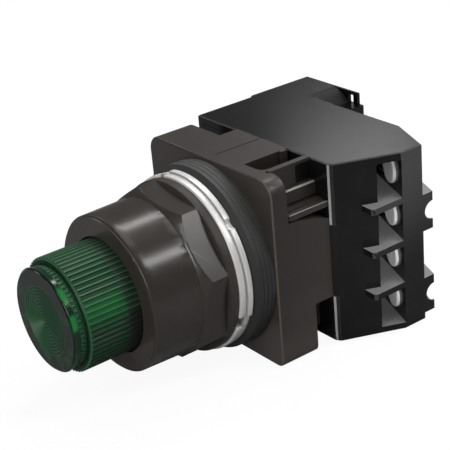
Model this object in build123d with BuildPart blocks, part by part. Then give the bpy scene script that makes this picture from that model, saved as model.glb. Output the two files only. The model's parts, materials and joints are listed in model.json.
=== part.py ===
from build123d import *
import os
from math import atan2, cos, degrees, hypot, pi, radians, sin

# Illuminated push button for a 30 mm panel hole, in millimetres.
# The button travels along Y and its lens faces -Y. Z is up.
# The origin is on the button's axis, in the plane where the flange meets the panel.

# Panel side of the operator
neck_r = 15.0
neck_length = 25.5
neck_bore_r = 13.2
guide_length = 5.4
rear_bore_r = 12.8
spring_seat = 0.0

flange_width = 43.0
flange_height = 43.2
flange_depth = 10.0
flange_rise = 0.35
flange_top_corner_r = 3.6
flange_low_corner_r = 2.0
flange_edge_r = 0.5
body_depth = 15.0
line_x = 0.2
line_front = 2.5
line_width = 0.3
line_depth = 0.12

gasket_thick = 5.6
gasket_r = 21.1
gasket_bevel = 1.3
groove_count = 3
groove_half = 0.15
groove_depth = 0.12
ring_bore_r = 15.3
rear_ring_thick = 1.4
rear_ring_r = 20.4
rear_ring_step_r = 19.8
band_half_turn = 60.0
nick_turn = 41.5
nick_r = 1.4
nick_depth = 0.7
front_ring_thick = 1.5
front_ring_r = 19.97
ring_edge = 0.2
notch_half_turn = 65.0
notch_width = 3.2
notch_depth = 1.8

# Retaining nut, eight sided
nut_front_r = 17.35
nut_rear_r = 17.66
nut_corner_r = 19.6
nut_turn = 13.5
nut_flange_r = 19.45
nut_flange_thick = 2.0
nut_flat_length = 5.9
nut_lip = 2.0
seal_thick = 0.6
seal_lip_length = 1.6
seal_edge = 0.4
nut_hole_r = 12.9
nut_thread_gap = 0.06
nut_edge_r = 0.5

# Lens and what moves with it
travel = 5.0
lens_standoff = 15.3
lens_disc_r = 11.33
lens_disc_thick = 1.7
lens_groove_r = 10.7
lens_groove_length = 1.4
lens_wall = 1.9
lens_front_wall = 1.9
ridge_r = 12.49
ridge_height = 0.22
ridge_width = 0.4
ridge_count = 64
ring_count = 10
ring_zone_r = 7.5
ring_depth = 0.16
tooth_height = 0.35
tooth_length = 0.9
diffuser_wall = 0.8
sleeve_r = 10.5
sleeve_bore_r = 9.0
sleeve_front_gap = 9.4
collar_thick = 1.8
collar_setback = 5.5
running_gap = 0.06
slide_gap = 0.1
stop_ring_thick = 2.5
stop_ring_r = 12.2
rest_gap = 0.1

# Lamp
socket_r = 6.0
socket_flange_r = 7.2
lamp_r = 5.0
lamp_base_r = 4.5
lamp_length = 31.0
lamp_base_length = 13.0
lamp_tip_gap = 1.0
lamp_foot_length = 1.0
lamp_foot_r = 1.4
socket_flange_thick = 1.5
socket_well = 3.0
lamp_pin_r = 1.5
lamp_pin_head_r = 3.2
lamp_pin_head_thick = 1.0

# Springs, each given by wire radius and mean radius
wire_sides = 8
return_wire_r = 0.45
return_coil_r = 11.85
return_turns = 6
contact_wire_r = 0.16
contact_coil_r = 0.95
contact_turns = 5
carrier_wire_r = 0.25
carrier_coil_r = 1.75
carrier_turns = 7

# Slot, recess and latch of the operator housing
wall_x = 16.4
wall_thick = 1.5
slot_left = 9.1
slot_front = 3.2
slot_corner_r = 2.0
recess_front = 4.0
latch_top = 13.6
latch_thick = 1.5
latch_swing = 10.0
latch_pivot_y = 4.95
latch_gap = 0.15
pin_r = 0.5
pin_end = 20.5
pin_grip = 4.0
latch_spring_x = 12.7
latch_spring_y = 9.6
latch_spring_foot = 7.5
latch_spring_r = 0.8
latch_wire_r = 0.15
latch_turns = 6
latch_pocket_r = 1.2
bar_low = 14.0
bar_high = 16.9
bar_reach = 1.4
bar_edge_r = 0.3
rear_left = -8.2
shoulder_low = -9.3
tab_low = 17.2
tab_front = 10.8
tongue_left = 9.9
tongue_width = 4.3
tongue_reach = 5.0
tongue_low = 14.0
nib_gap = 0.35
tongue_thick = 2.0

# Black block
block_left = -22.9
block_right = 22.4
block_top = 21.7
block_bottom = -20.3
side_out_x = 28.7
side_out_y = 29.4
side_back_y = 35.5
rear_corner_x = 17.6
rear_y = 40.0
supply_step_y = 31.4
supply_left = -23.7
supply_right = -5.0
lug_right = -3.8
lug_top = 18.8
block_wall = 1.7
edge_bevel = 0.8
opening_front_y = 24.3
pocket_shelf_x = 20.0
pocket_inner_x = 15.0
pocket_inner_y = 28.5
lip_front_y = 21.1
lip_tip_x = 28.1
lip_tip_y = 20.9
lip_side_y = 21.6
top_bevel = 0.25
plate_thick = 2.0

# Terminals, one above the other
terminal_count = 4
pitch = 10.05
barrier_thick = 1.4
lid_thick = 1.75
terminal_x = 22.9
seat_depth = 5.55
disc_r = 3.05
disc_thick = 0.6
disc_edge_r = 0.15
strip_thick = 0.8
strip_width = 4.4
screw_r = 1.75
head_r = 3.0
head_thick = 1.8
slot_width = 0.8
supply_head_r = 2.7
head_well_r = 3.3
head_well = 3.0
guard_reach = 2.75
guard_notch_r = 2.2

# Contacts
contact_x = 9.5
make_gap = 2.0
tip_thick = 0.8
tip_r = 1.2
stem_r = 2.0
cover_screw_r = 0.55
cover_head_r = 1.2
bridge_thick = 0.8
bridge_width = 2.4
window_gap = 0.1
make_plane = 29.2
break_plane = 23.0

# Lamp supply
core_width = 12.0
core_depth = 26.0
core_height = 32.0
core_gap = 0.9
well_depth = 3.2
well_floor_thick = 1.2
well_side = 8.0
plate_side = 7.2
supply_plate_thick = 1.0
coil_width = 18.0
supply_screw_x = -14.4
supply_screw_z = 9.0

# Places along the axis that follow from the sizes above
gasket_front = -gasket_thick
rear_ring_front = gasket_front - rear_ring_thick
front_ring_front = rear_ring_front - front_ring_thick
nut_front = -neck_length - seal_thick - nut_lip
nut_length = front_ring_front - nut_front
lens_front = nut_front - lens_standoff
disc_back = lens_front + lens_disc_thick
barrel_front = disc_back + lens_groove_length
sleeve_front = lens_front + sleeve_front_gap
shoulder_back = spring_seat + guide_length
ring_front = shoulder_back + rest_gap
ring_back = ring_front + stop_ring_thick
collar_front = -neck_length + collar_setback
collar_back = collar_front + collar_thick
barrel_back = collar_front
lens_bore_r = ridge_r - lens_wall
lamp_tip = lens_front + lens_front_wall + diffuser_wall + travel + lamp_tip_gap
lamp_end = lamp_tip + lamp_length
terminal_low = block_bottom + barrier_thick
core_front = body_depth + plate_thick + core_gap
supply_chamber_back = core_front + core_depth + core_gap
well_floor = supply_chamber_back + well_floor_thick
supply_rear = well_floor + well_depth
pocket_height = pitch - barrier_thick
flange_mid = flange_rise
flange_bottom = flange_mid - flange_height / 2
flange_top = flange_mid + flange_height / 2
half_flange = flange_width / 2


def facing(y):
    """Plane across the axis at y. Sketch x is X and sketch y is Z. It grows rearward with a minus amount."""
    return Plane.XZ.offset(-y)


def save(part, name):
    part.label = name
    export_step(part, f"parts/{name}.step")


def terminal_z(index):
    """Middle height of a terminal pocket, counted from the top."""
    return terminal_low + pocket_height / 2 + pitch * (terminal_count - 1 - index)


# The slanted wall that carries the terminals, as a direction in plan
slant_angle = degrees(atan2(rear_y - side_back_y, side_out_x - rear_corner_x))
slant_out = Vector(sin(radians(slant_angle)), cos(radians(slant_angle)), 0)
slant_along = Vector(cos(radians(slant_angle)), -sin(radians(slant_angle)), 0)
slant_rear = Vector(side_out_x, side_back_y, 0)
slant_front = slant_rear - slant_out * seat_depth


def on_slant(x, depth):
    """Point in plan at x, on the slanted inner wall moved forward by depth."""
    start = slant_front - slant_out * depth
    share = (x - start.X) / slant_along.X
    return start + slant_along * share


terminal_seat = on_slant(terminal_x, 0)
strip_end_x = terminal_x + (disc_r - 0.6) * slant_along.X


def terminal_plane(z, depth):
    """Plane across a terminal screw, facing the rear, depth in front of the wall that it clamps to."""
    origin = terminal_seat - slant_out * depth + Vector(0, 0, z)
    return Plane(origin=origin, x_dir=slant_along, z_dir=slant_out)


def ring_outline():
    """Half section of the lens front, from the rim inward: each ring is a slope and a step back up."""
    points = []
    step = ring_zone_r / (ring_count + 0.5)
    for index in range(ring_count):
        r = ring_zone_r - index * step
        points.append((r, lens_front))
        points.append((r - step * 0.2, lens_front + ring_depth))
    points.append((step * 0.5, lens_front))
    points.append((0, lens_front))
    return points


def ridge_outline(crest_r, height):
    """Section of a fluted or toothed ring, four points for each ridge."""
    root_r = crest_r - height
    points = []
    for index in range(ridge_count):
        middle = 2 * pi * index / ridge_count
        foot = ridge_width / root_r
        crest = ridge_width / 2 / crest_r
        for r, turn in ((root_r, -foot), (crest_r, -crest), (crest_r, crest), (root_r, foot)):
            points.append((r * cos(middle + turn), r * sin(middle + turn)))
    return points


def turned(points):
    """Part turned about the Y axis from a half section of radius and y."""
    with BuildPart() as body:
        with BuildSketch(Plane.XY):
            with BuildLine():
                Polyline(*points, close=True)
            make_face()
        revolve(axis=Axis.Y)
    return body.part


def coil_spring(place, coil_r, wire_r, length, turns):
    """Wire spring that starts on a plane and grows along its normal. The wire has flat sides, to stay light."""
    rise = length - 2 * wire_r
    start = place.offset(wire_r)
    with BuildPart() as spring:
        with BuildLine():
            wire = Helix(rise / turns, rise, coil_r, center=start.origin, direction=start.z_dir)
        with BuildSketch(Plane(origin=wire @ 0, z_dir=wire % 0)):
            RegularPolygon(wire_r, wire_sides)
        sweep(path=wire, is_frenet=True)
    return spring.part


os.makedirs("parts", exist_ok=True)

# Lens: ringed disc, toothed groove and fluted barrel in one clear moulding
with BuildPart() as lens:
    with BuildSketch(Plane.XY):
        with BuildLine():
            rim = 0.5
            front = ring_outline()
            Polyline((0, disc_back), (0, front[-1][1]), *reversed(front[:-1]), (lens_disc_r - rim, lens_front))
            RadiusArc((lens_disc_r - rim, lens_front), (lens_disc_r, lens_front + rim), rim)
            Polyline(
                (lens_disc_r, lens_front + rim),
                (lens_disc_r - 0.25, disc_back),
                (lens_groove_r, disc_back),
                (lens_groove_r, barrel_front),
                (ridge_r - ridge_height - 0.5, barrel_front),
                (ridge_r - ridge_height - 0.1, barrel_front + 0.4),
                (ridge_r - ridge_height - 0.1, barrel_back),
                (0, barrel_back),
                (0, disc_back),
            )
        make_face()
    revolve(axis=Axis.Y)
    with BuildSketch(facing(barrel_front + 0.4)):
        with BuildLine():
            Polyline(*ridge_outline(ridge_r, ridge_height), close=True)
        make_face()
    extrude(amount=-(barrel_back - barrel_front - 0.4))
    with BuildSketch(facing(disc_back)):
        with BuildLine():
            Polyline(*ridge_outline(lens_groove_r + tooth_height, tooth_height), close=True)
        make_face()
    extrude(amount=-tooth_length)
    with BuildSketch(Plane.XY):
        with BuildLine():
            Polyline(
                (0, lens_front + lens_front_wall),
                (lens_groove_r - 1.5, lens_front + lens_front_wall),
                (lens_groove_r - 1.5, barrel_front + 0.8),
                (lens_bore_r, barrel_front + 0.8 + lens_bore_r - lens_groove_r + 1.5),
                (lens_bore_r, barrel_back),
                (0, barrel_back),
                close=True,
            )
        make_face()
    revolve(axis=Axis.Y, mode=Mode.SUBTRACT)
save(lens.part, "lens")

# Diffuser: thin white cup that stands on the sleeve inside the lens
diffuser_r = lens_groove_r - 1.5 - slide_gap
diffuser_front = lens_front + lens_front_wall + slide_gap
diffuser = turned([
    (0, diffuser_front),
    (diffuser_r, diffuser_front),
    (diffuser_r, sleeve_front - diffuser_wall),
    (sleeve_r - slide_gap, sleeve_front - diffuser_wall),
    (sleeve_r - slide_gap, sleeve_front),
    (diffuser_r - diffuser_wall, sleeve_front),
    (diffuser_r - diffuser_wall, diffuser_front + diffuser_wall),
    (0, diffuser_front + diffuser_wall),
])
save(diffuser, "diffuser")

# Sleeve: tube that carries the lens, with a collar that the return spring pushes
sleeve = turned([
    (sleeve_bore_r, sleeve_front),
    (sleeve_r, sleeve_front),
    (sleeve_r, collar_front),
    (neck_bore_r - slide_gap, collar_front),
    (neck_bore_r - slide_gap, collar_back),
    (sleeve_r, collar_back),
    (sleeve_r, ring_back),
    (sleeve_bore_r, ring_back),
])
save(sleeve, "plunger_sleeve")

# Stop ring: pressed on the sleeve behind the shoulder, it ends the outward travel
stop_ring = turned([
    (sleeve_r, ring_front),
    (stop_ring_r - ring_edge, ring_front),
    (stop_ring_r, ring_front + ring_edge),
    (stop_ring_r, ring_back),
    (sleeve_r, ring_back),
])
save(stop_ring, "stop_ring")

# Return spring between the collar and the shoulder of the neck
return_spring = coil_spring(
    Plane(origin=(0, collar_back, 0), x_dir=(1, 0, 0), z_dir=(0, 1, 0)),
    return_coil_r, return_wire_r, spring_seat - collar_back, return_turns,
)
save(return_spring, "return_spring")

# Wiper seal: rubber ring held between the nut's lip and the neck
seal_lip_r = ridge_r + slide_gap
wiper_seal = turned([
    (seal_lip_r, nut_front + nut_lip),
    (neck_r - seal_edge, nut_front + nut_lip),
    (neck_r - seal_edge, -neck_length),
    (neck_bore_r - running_gap, -neck_length),
    (neck_bore_r - running_gap, -neck_length + seal_lip_length),
    (seal_lip_r, -neck_length + seal_lip_length),
])
save(wiper_seal, "wiper_seal")

# Lamp: glass bulb on a metal base, in a socket that stands on the block
lamp_glass_back = lamp_end - lamp_base_length
with BuildPart() as lamp_glass:
    with BuildSketch(Plane.XY):
        with BuildLine():
            Line((0, lamp_glass_back), (0, lamp_tip))
            RadiusArc((0, lamp_tip), (lamp_r, lamp_tip + lamp_r), -lamp_r)
            Polyline((lamp_r, lamp_tip + lamp_r), (lamp_r, lamp_glass_back - 2))
            Polyline((lamp_r, lamp_glass_back - 2), (lamp_base_r - 0.6, lamp_glass_back), (0, lamp_glass_back))
        make_face()
    revolve(axis=Axis.Y)
save(lamp_glass.part, "lamp_glass")

with BuildPart() as lamp_base:
    with BuildSketch(facing(lamp_glass_back)):
        Circle(lamp_base_r)
    extrude(amount=-(lamp_base_length - 2 * lamp_foot_length))
    with BuildSketch(facing(lamp_end - 2 * lamp_foot_length)):
        Circle(lamp_base_r - 1)
    extrude(amount=-lamp_foot_length)
    with BuildSketch(facing(lamp_end - lamp_foot_length)):
        Circle(lamp_foot_r)
    extrude(amount=-lamp_foot_length)
save(lamp_base.part, "lamp_base")

socket_front = lamp_glass_back + 1
cover_front = body_depth
with BuildPart() as lamp_socket:
    with BuildSketch(facing(socket_front)):
        Circle(socket_r)
    extrude(amount=-(cover_front - socket_front))
    with BuildSketch(facing(cover_front - socket_flange_thick)):
        Circle(socket_flange_r)
    extrude(amount=-socket_flange_thick)
    with BuildSketch(facing(socket_front)):
        Circle(lamp_base_r + slide_gap)
    extrude(amount=-(lamp_end + socket_well - socket_front), mode=Mode.SUBTRACT)
    with BuildSketch(facing(lamp_end)):
        Circle(lamp_pin_r + slide_gap)
    extrude(amount=-(cover_front - lamp_end), mode=Mode.SUBTRACT)
save(lamp_socket.part, "lamp_socket")

# Spring loaded brass pin that meets the foot of the lamp
with BuildPart() as socket_contact:
    with BuildSketch(facing(lamp_end)):
        Circle(lamp_pin_head_r)
    extrude(amount=-lamp_pin_head_thick)
    with BuildSketch(facing(lamp_end + lamp_pin_head_thick)):
        Circle(lamp_pin_r)
    extrude(amount=-(cover_front - lamp_end - lamp_pin_head_thick))
save(socket_contact.part, "socket_contact")

# Retaining nut: round barrel, eight flats with turned corners, and a round flange
nut_back = front_ring_front
flat_back = nut_back - nut_flange_thick
flat_front = flat_back - nut_flat_length
with BuildPart() as nut:
    with BuildSketch(facing(flat_front)):
        RegularPolygon(nut_corner_r, 8, rotation=nut_turn)
    extrude(amount=-nut_flat_length)
    with BuildSketch(Plane.XY):
        with BuildLine():
            slope = nut_corner_r - nut_rear_r
            Polyline(
                (0, flat_front),
                (nut_rear_r, flat_front),
                (nut_corner_r, flat_front + slope),
                (nut_corner_r, flat_back),
                (0, flat_back),
                close=True,
            )
        make_face()
    revolve(axis=Axis.Y, mode=Mode.INTERSECT)
    with BuildSketch(Plane.XY):
        with BuildLine():
            Polyline(
                (nut_front_r - nut_edge_r, nut_front),
                (0, nut_front),
                (0, nut_back),
                (nut_flange_r, nut_back),
                (nut_flange_r, flat_back),
                (nut_rear_r - 0.05, flat_back),
                (nut_rear_r - 0.05, flat_front),
                (nut_front_r, nut_front + nut_edge_r),
            )
            RadiusArc((nut_front_r - nut_edge_r, nut_front), (nut_front_r, nut_front + nut_edge_r), nut_edge_r)
        make_face()
    revolve(axis=Axis.Y)
    with BuildSketch(facing(nut_front)):
        Circle(nut_hole_r)
    extrude(amount=-nut_lip, mode=Mode.SUBTRACT)
    with BuildSketch(facing(nut_front + nut_lip)):
        Circle(neck_r + nut_thread_gap)
    extrude(amount=-(nut_length - nut_lip), mode=Mode.SUBTRACT)
save(nut.part, "retaining_nut")

# Steel rings: the front ring has two notches, the rear ring is wide over a third of its rim and has a nick
with BuildPart() as thrust_washer:
    add(turned([
        (ring_bore_r, front_ring_front),
        (front_ring_r - ring_edge, front_ring_front),
        (front_ring_r, front_ring_front + ring_edge),
        (front_ring_r, rear_ring_front),
        (ring_bore_r, rear_ring_front),
    ]))
    with BuildSketch(facing(front_ring_front)):
        with PolarLocations(front_ring_r, 2, nick_turn - notch_half_turn, 2 * notch_half_turn, endpoint=True):
            Rectangle(2 * notch_depth, notch_width)
    extrude(amount=-front_ring_thick, mode=Mode.SUBTRACT)
save(thrust_washer.part, "thrust_washer")

band_edge = [(0, 0)]
for share in (-1, -1 / 3, 1 / 3, 1):
    turn = radians(nick_turn + share * band_half_turn)
    band_edge.append((2 * rear_ring_r * cos(turn), 2 * rear_ring_r * sin(turn)))
with BuildPart() as locating_ring:
    with BuildSketch(facing(rear_ring_front)):
        Circle(rear_ring_r)
        with BuildLine():
            Polyline(*band_edge, close=True)
        make_face(mode=Mode.INTERSECT)
        Circle(rear_ring_step_r)
        with PolarLocations(rear_ring_r + nick_r - nick_depth, 1, nick_turn):
            Circle(nick_r, mode=Mode.SUBTRACT)
        Circle(ring_bore_r, mode=Mode.SUBTRACT)
    extrude(amount=-rear_ring_thick)
save(locating_ring.part, "locating_ring")

# Gasket: thick rubber ring with a bevelled front edge and fine grooves round its rim
rim_points = []
groove_span = (gasket_thick - gasket_bevel) / (groove_count + 1)
for index in range(groove_count):
    middle = gasket_front + gasket_bevel + groove_span * (index + 1)
    rim_points.append((gasket_r, middle - groove_half))
    rim_points.append((gasket_r - groove_depth, middle))
    rim_points.append((gasket_r, middle + groove_half))
gasket = turned([
    (ring_bore_r, gasket_front),
    (gasket_r - gasket_bevel, gasket_front),
    (gasket_r, gasket_front + gasket_bevel),
    *rim_points,
    (gasket_r, 0),
    (ring_bore_r, 0),
])
save(gasket, "gasket")

# Operator housing: square flange, stepped rear body, threaded neck, slot and latch recess
bay_left = slot_left + 0.5
with BuildPart() as housing:
    with BuildSketch(facing(0)) as flange:
        with Locations((0, flange_mid)):
            Rectangle(flange_width, flange_height)
        fillet(flange.vertices().sort_by(Axis.Y)[-2:], flange_top_corner_r)
        fillet(flange.vertices().sort_by(Axis.Y)[:2], flange_low_corner_r)
    extrude(amount=-flange_depth)
    fillet(housing.faces().sort_by(Axis.Y)[0].edges(), flange_edge_r)
    with BuildSketch(facing(flange_depth)):
        with BuildLine():
            Polyline(
                (rear_left, flange_top),
                (wall_x, flange_top),
                (wall_x, latch_top),
                (half_flange, latch_top),
                (half_flange, shoulder_low),
                (wall_x, shoulder_low),
                (wall_x, flange_bottom + 3),
                (rear_left, flange_bottom + 3),
                (rear_left, shoulder_low),
                (-half_flange, shoulder_low),
                (-half_flange, latch_top - 2),
                (rear_left, latch_top - 2),
                close=True,
            )
        make_face()
    extrude(amount=-(body_depth - flange_depth))
    with BuildSketch(facing(0)):
        Circle(neck_r)
    extrude(amount=neck_length)
    # Recess that leaves the side wall and the latch free
    with BuildSketch(Plane.XY.offset(latch_top)):
        with Locations((wall_x, recess_front)):
            Rectangle(half_flange, body_depth, align=(Align.MIN, Align.MIN))
    extrude(amount=flange_height, mode=Mode.SUBTRACT)
    # Grip bar on the side wall
    with BuildSketch(facing(recess_front)):
        with BuildLine():
            Polyline((wall_x, bar_low), (wall_x, bar_high), (wall_x + bar_reach - 0.4, bar_high),
                     (wall_x + bar_reach, bar_low), close=True)
        make_face()
    extrude(amount=-(body_depth - recess_front))
    bar_corner = (wall_x + bar_reach - 0.4, body_depth, bar_high)
    fillet(housing.edges().filter_by(Axis.Y).sort_by_distance(bar_corner)[0], bar_edge_r)
    # Fine line on the top
    with BuildSketch(Plane.XY.offset(flange_top)):
        with Locations((line_x, line_front)):
            Rectangle(line_width, body_depth - line_front, align=(Align.CENTER, Align.MIN))
    extrude(amount=-line_depth, mode=Mode.SUBTRACT)
    # Slot on top, open to the rear
    with BuildSketch(Plane.XY.offset(latch_top)):
        with BuildLine():
            slot_right = wall_x - wall_thick
            Polyline((slot_right - slot_corner_r, slot_front), (slot_left, slot_front), (slot_left, body_depth),
                     (slot_right, body_depth), (slot_right, slot_front + slot_corner_r))
            RadiusArc((slot_right, slot_front + slot_corner_r), (slot_right - slot_corner_r, slot_front),
                      slot_corner_r)
        make_face()
    extrude(amount=flange_height, mode=Mode.SUBTRACT)
    # Stop rib at the rear of the slot
    with BuildSketch(Plane.XY.offset(latch_top + 4)):
        with Locations((slot_left - 0.2, body_depth - 2.3)):
            Rectangle(1.0, 1.6, align=(Align.MIN, Align.MIN))
    extrude(amount=flange_top - latch_top - 4)
    # Window in the side wall for the tab of the block
    with BuildSketch(facing(tab_front)):
        with Locations((wall_x - wall_thick, tab_low)):
            Rectangle(wall_thick, flange_top - tab_low - 0.7, align=(Align.MIN, Align.MIN))
    extrude(amount=-(body_depth - tab_front), mode=Mode.SUBTRACT)
    # Bay under the latch, deeper towards the rear
    with BuildSketch(Plane.YZ.offset(bay_left)):
        with BuildLine():
            bay_front = latch_pivot_y - latch_thick / 2 - latch_gap
            bay_high = latch_top - latch_thick - 0.35
            bay_low = bay_high - 2.45
            Polyline((bay_front, bay_high), (bay_front, latch_top + 0.01), (body_depth, latch_top + 0.01),
                     (body_depth, bay_low))
            ThreePointArc((body_depth, bay_low), (10.2, 10.85), (bay_front, bay_high))
        make_face()
    extrude(amount=half_flange - bay_left, mode=Mode.SUBTRACT)
    # Bores: neck, guide and rear chamber
    with BuildSketch(facing(-neck_length)):
        Circle(neck_bore_r)
    extrude(amount=-(neck_length + spring_seat), mode=Mode.SUBTRACT)
    with BuildSketch(facing(spring_seat)):
        Circle(sleeve_r + running_gap)
    extrude(amount=-guide_length, mode=Mode.SUBTRACT)
    with BuildSketch(facing(shoulder_back)):
        Circle(rear_bore_r)
    extrude(amount=-(body_depth - shoulder_back), mode=Mode.SUBTRACT)
    # Pocket of the latch spring and bore of the latch pin
    with BuildSketch(Plane.XY.offset(latch_spring_foot)):
        with Locations((latch_spring_x, latch_spring_y)):
            Circle(latch_pocket_r)
    extrude(amount=latch_top - latch_thick - latch_spring_foot, mode=Mode.SUBTRACT)
    with BuildSketch(Plane.YZ.offset(bay_left - pin_grip)):
        with Locations((latch_pivot_y, latch_top - latch_thick / 2)):
            Circle(pin_r)
    extrude(amount=pin_grip, mode=Mode.SUBTRACT)
    # Small ejector hole at the head of the side wall
    with BuildSketch(Plane.XY.offset(flange_top)):
        with Locations((wall_x - 0.3, recess_front - 0.2)):
            Circle(0.5)
    extrude(amount=-1.5, mode=Mode.SUBTRACT)
save(housing.part, "operator_housing")

# Latch lever: flat plate that swings down on its pin, with a nib that holds the block's tongue
latch_mid = latch_top - latch_thick / 2
nib_height = 1.2
nib_y = 12.4
with BuildPart() as latch:
    with BuildSketch(Plane.YZ.offset(bay_left + latch_gap)):
        with BuildLine():
            low = latch_top - latch_thick
            Polyline((latch_pivot_y, low), (body_depth - latch_gap, low), (body_depth - latch_gap, latch_top),
                     (nib_y + 0.9, latch_top), (nib_y + 0.5, latch_top + nib_height),
                     (nib_y - 0.5, latch_top + nib_height), (nib_y - 0.7, latch_top),
                     (latch_pivot_y, latch_top))
            RadiusArc((latch_pivot_y, latch_top), (latch_pivot_y, low), -latch_thick / 2)
        make_face()
    extrude(amount=slot_right - latch_gap - bay_left - latch_gap)
    with BuildSketch(Plane.YZ.offset(slot_right - latch_gap)):
        with BuildLine():
            Polyline((latch_pivot_y, low), (body_depth - latch_gap, low), (body_depth - latch_gap, latch_top),
                     (latch_pivot_y, latch_top))
            RadiusArc((latch_pivot_y, latch_top), (latch_pivot_y, low), -latch_thick / 2)
        make_face()
    extrude(amount=half_flange - slot_right + latch_gap)
    # Step along the finger end
    with BuildSketch(facing(0)):
        with Locations((19.8, latch_top - 0.25)):
            Rectangle(4, 2, align=(Align.MIN, Align.MIN))
    extrude(amount=-body_depth, mode=Mode.SUBTRACT)
    with BuildSketch(Plane.YZ.offset(bay_left)):
        with Locations((latch_pivot_y, latch_mid)):
            Circle(pin_r + running_gap)
    extrude(amount=pin_end + slide_gap - bay_left, mode=Mode.SUBTRACT)
save(latch.part, "latch_lever")

with BuildPart() as latch_pin:
    with BuildSketch(Plane.YZ.offset(bay_left - pin_grip)):
        with Locations((latch_pivot_y, latch_mid)):
            Circle(pin_r)
    extrude(amount=pin_end - bay_left + pin_grip)
save(latch_pin.part, "latch_pin")

latch_spring = coil_spring(
    Plane(origin=(latch_spring_x, latch_spring_y, latch_spring_foot)),
    latch_spring_r, latch_wire_r, latch_top - latch_thick - latch_spring_foot, latch_turns,
)
save(latch_spring, "latch_spring")

# Black block: moulded housing of the contacts and the lamp supply
chamber_split = -0.6
chamber_right = 14.0
chamber_back = rear_y - block_wall
side_slope = (side_out_x - block_right) / (side_out_y - body_depth)
opening_front_x = block_right + side_slope * (opening_front_y - body_depth)
pocket_back = on_slant(pocket_inner_x, 0)
pocket_end = on_slant(side_out_x, 0)
lip_x = block_right + side_slope * (lip_front_y - body_depth)
with BuildPart() as block:
    with BuildSketch(Plane.XY.offset(block_bottom)):
        with BuildLine():
            Polyline(
                (block_left, body_depth),
                (block_right, body_depth),
                (side_out_x, side_out_y),
                (side_out_x, side_back_y),
                (rear_corner_x, rear_y),
                (lug_right, rear_y),
                (lug_right, supply_rear),
                (supply_left, supply_rear),
                (supply_left, supply_step_y),
                (block_left, supply_step_y),
                close=True,
            )
        make_face()
    extrude(amount=block_top - block_bottom)
    # Bevel at the front corner and a finer one round the top edge
    front_corner = block.edges().filter_by(Axis.Z).sort_by_distance((block_right, body_depth, 0))[0]
    chamfer(front_corner, edge_bevel)
    chamfer(block.faces().sort_by(Axis.Z)[-1].edges(), top_bevel)
    # Lower lug at the rear right of the supply part, scooped down from the top
    with BuildSketch(facing(rear_y)):
        with BuildLine():
            Polyline((-13, block_top), (lug_right + 1, block_top), (lug_right + 1, lug_top), (-8.0, lug_top))
            TangentArc((-13, block_top), (-8.0, lug_top), tangent=(1, -0.15))
        make_face()
    extrude(amount=-(supply_rear - 0.8 - rear_y), mode=Mode.SUBTRACT)
    with BuildSketch(facing(supply_rear - 0.8)):
        with Locations((supply_right, lug_top)):
            Rectangle(4, 5, align=(Align.MIN, Align.MIN))
        with Locations((-8.0, lug_top)):
            Rectangle(1.6, 2.1, align=(Align.MIN, Align.MIN))
    extrude(amount=-0.8, mode=Mode.SUBTRACT)
    # Terminal pockets, barriers and their pointed lips
    for index in range(terminal_count):
        low_z = terminal_z(index) - pocket_height / 2
        with BuildSketch(Plane.XY.offset(low_z)):
            with BuildLine():
                Polyline(
                    (opening_front_x + 2, opening_front_y),
                    (pocket_shelf_x, opening_front_y + 0.4),
                    (pocket_inner_x, pocket_inner_y),
                    (pocket_back.X, pocket_back.Y),
                    (pocket_end.X + 0.5, on_slant(pocket_end.X + 0.5, 0).Y),
                    (side_out_x + 0.5, side_out_y - 3),
                    close=True,
                )
            make_face()
        extrude(amount=pocket_height, mode=Mode.SUBTRACT)
    # Pointed lips on the three barriers between the terminals
    for index in range(terminal_count - 1):
        with BuildSketch(Plane.XY.offset(terminal_z(index) - pocket_height / 2 - barrier_thick)):
            with BuildLine():
                Polyline(
                    (lip_x - 0.6, lip_front_y + 0.2),
                    (lip_x, lip_front_y),
                    (lip_tip_x, lip_tip_y),
                    (side_out_x, lip_side_y),
                    (side_out_x, side_out_y),
                    (side_out_x - 1.5, side_out_y - 1),
                    close=True,
                )
            make_face()
        extrude(amount=barrier_thick)
    # Guards with a round notch behind the second and the fourth terminal
    for index in (1, 3):
        with BuildSketch(Plane.XY.offset(terminal_z(index) - pocket_height / 2)):
            with BuildLine():
                guard_end = slant_rear - slant_along * 9.0
                guard_top = guard_end + slant_out * guard_reach
                outer = slant_rear + Vector(0, guard_reach / slant_out.Y, 0)
                Polyline((slant_rear.X, slant_rear.Y - 1), (outer.X, outer.Y), (guard_top.X, guard_top.Y),
                         (guard_end.X, guard_end.Y - 1), close=True)
            make_face()
        extrude(amount=pocket_height)
        notch_at = slant_rear + slant_out * guard_reach + Vector(0, 0, terminal_z(index))
        with BuildSketch(Plane(origin=notch_at, x_dir=slant_out, z_dir=slant_along)):
            Circle(guard_notch_r)
        extrude(amount=12, both=True, mode=Mode.SUBTRACT)
    # Screw wells and clearance holes through the slanted wall
    for index in range(terminal_count):
        with BuildSketch(terminal_plane(terminal_z(index), -(seat_depth - head_well))):
            Circle(head_well_r)
        extrude(amount=head_well + guard_reach + 1, mode=Mode.SUBTRACT)
        with BuildSketch(terminal_plane(terminal_z(index), 0)):
            Circle(screw_r + 0.15)
        extrude(amount=seat_depth - head_well, mode=Mode.SUBTRACT)
        # Groove for the contact strip, which runs on into the chamber
        with BuildSketch(Plane.XY.offset(terminal_z(index) - strip_width / 2 - slide_gap)):
            with BuildLine():
                near = on_slant(strip_end_x + slide_gap, 0)
                far = on_slant(chamber_right - 1, 0)
                end = on_slant(chamber_right - 1, -strip_thick - slide_gap)
                back = on_slant(strip_end_x + slide_gap, -strip_thick - slide_gap)
                Polyline((near.X, near.Y), (far.X, far.Y), (end.X, end.Y), (back.X, back.Y), close=True)
            make_face()
        extrude(amount=strip_width + 2 * slide_gap, mode=Mode.SUBTRACT)
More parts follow.
